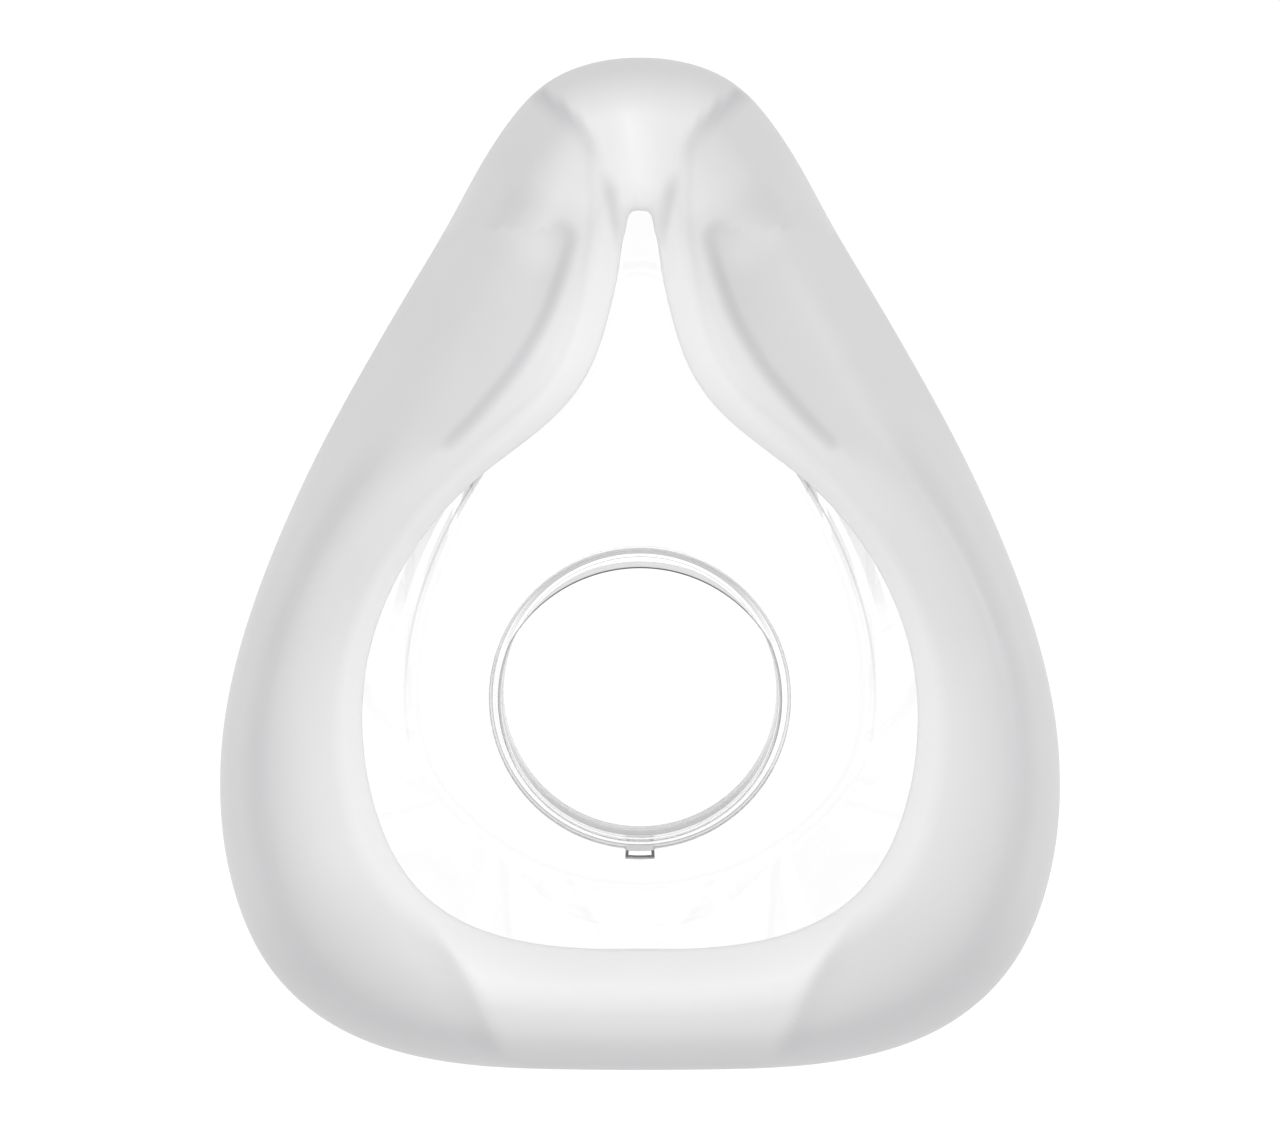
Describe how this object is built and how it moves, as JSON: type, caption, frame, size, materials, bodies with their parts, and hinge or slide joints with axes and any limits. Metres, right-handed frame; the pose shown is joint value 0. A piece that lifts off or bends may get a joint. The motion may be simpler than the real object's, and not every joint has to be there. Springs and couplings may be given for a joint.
{
  "type": "full face cpap mask cushion module",
  "caption": "Soft oro-nasal seal with a nose bridge saddle, bonded to a clear plenum shell with a round port on the front.",
  "frame": {"origin": "centre of the round port at its rim, on the port axis", "axes": "+Z through the port towards the wearer's face, +Y towards the nose bridge, +X to one side"},
  "size_m": [0.104, 0.1265, 0.057],
  "materials": {
    "silicone": "fine matt, translucent",
    "clear_plastic": "clear, polished"
  },
  "bodies": {
    "root": {"seal_cushion": "silicone", "plenum_shell": "clear_plastic"}
  },
  "joints": []
}
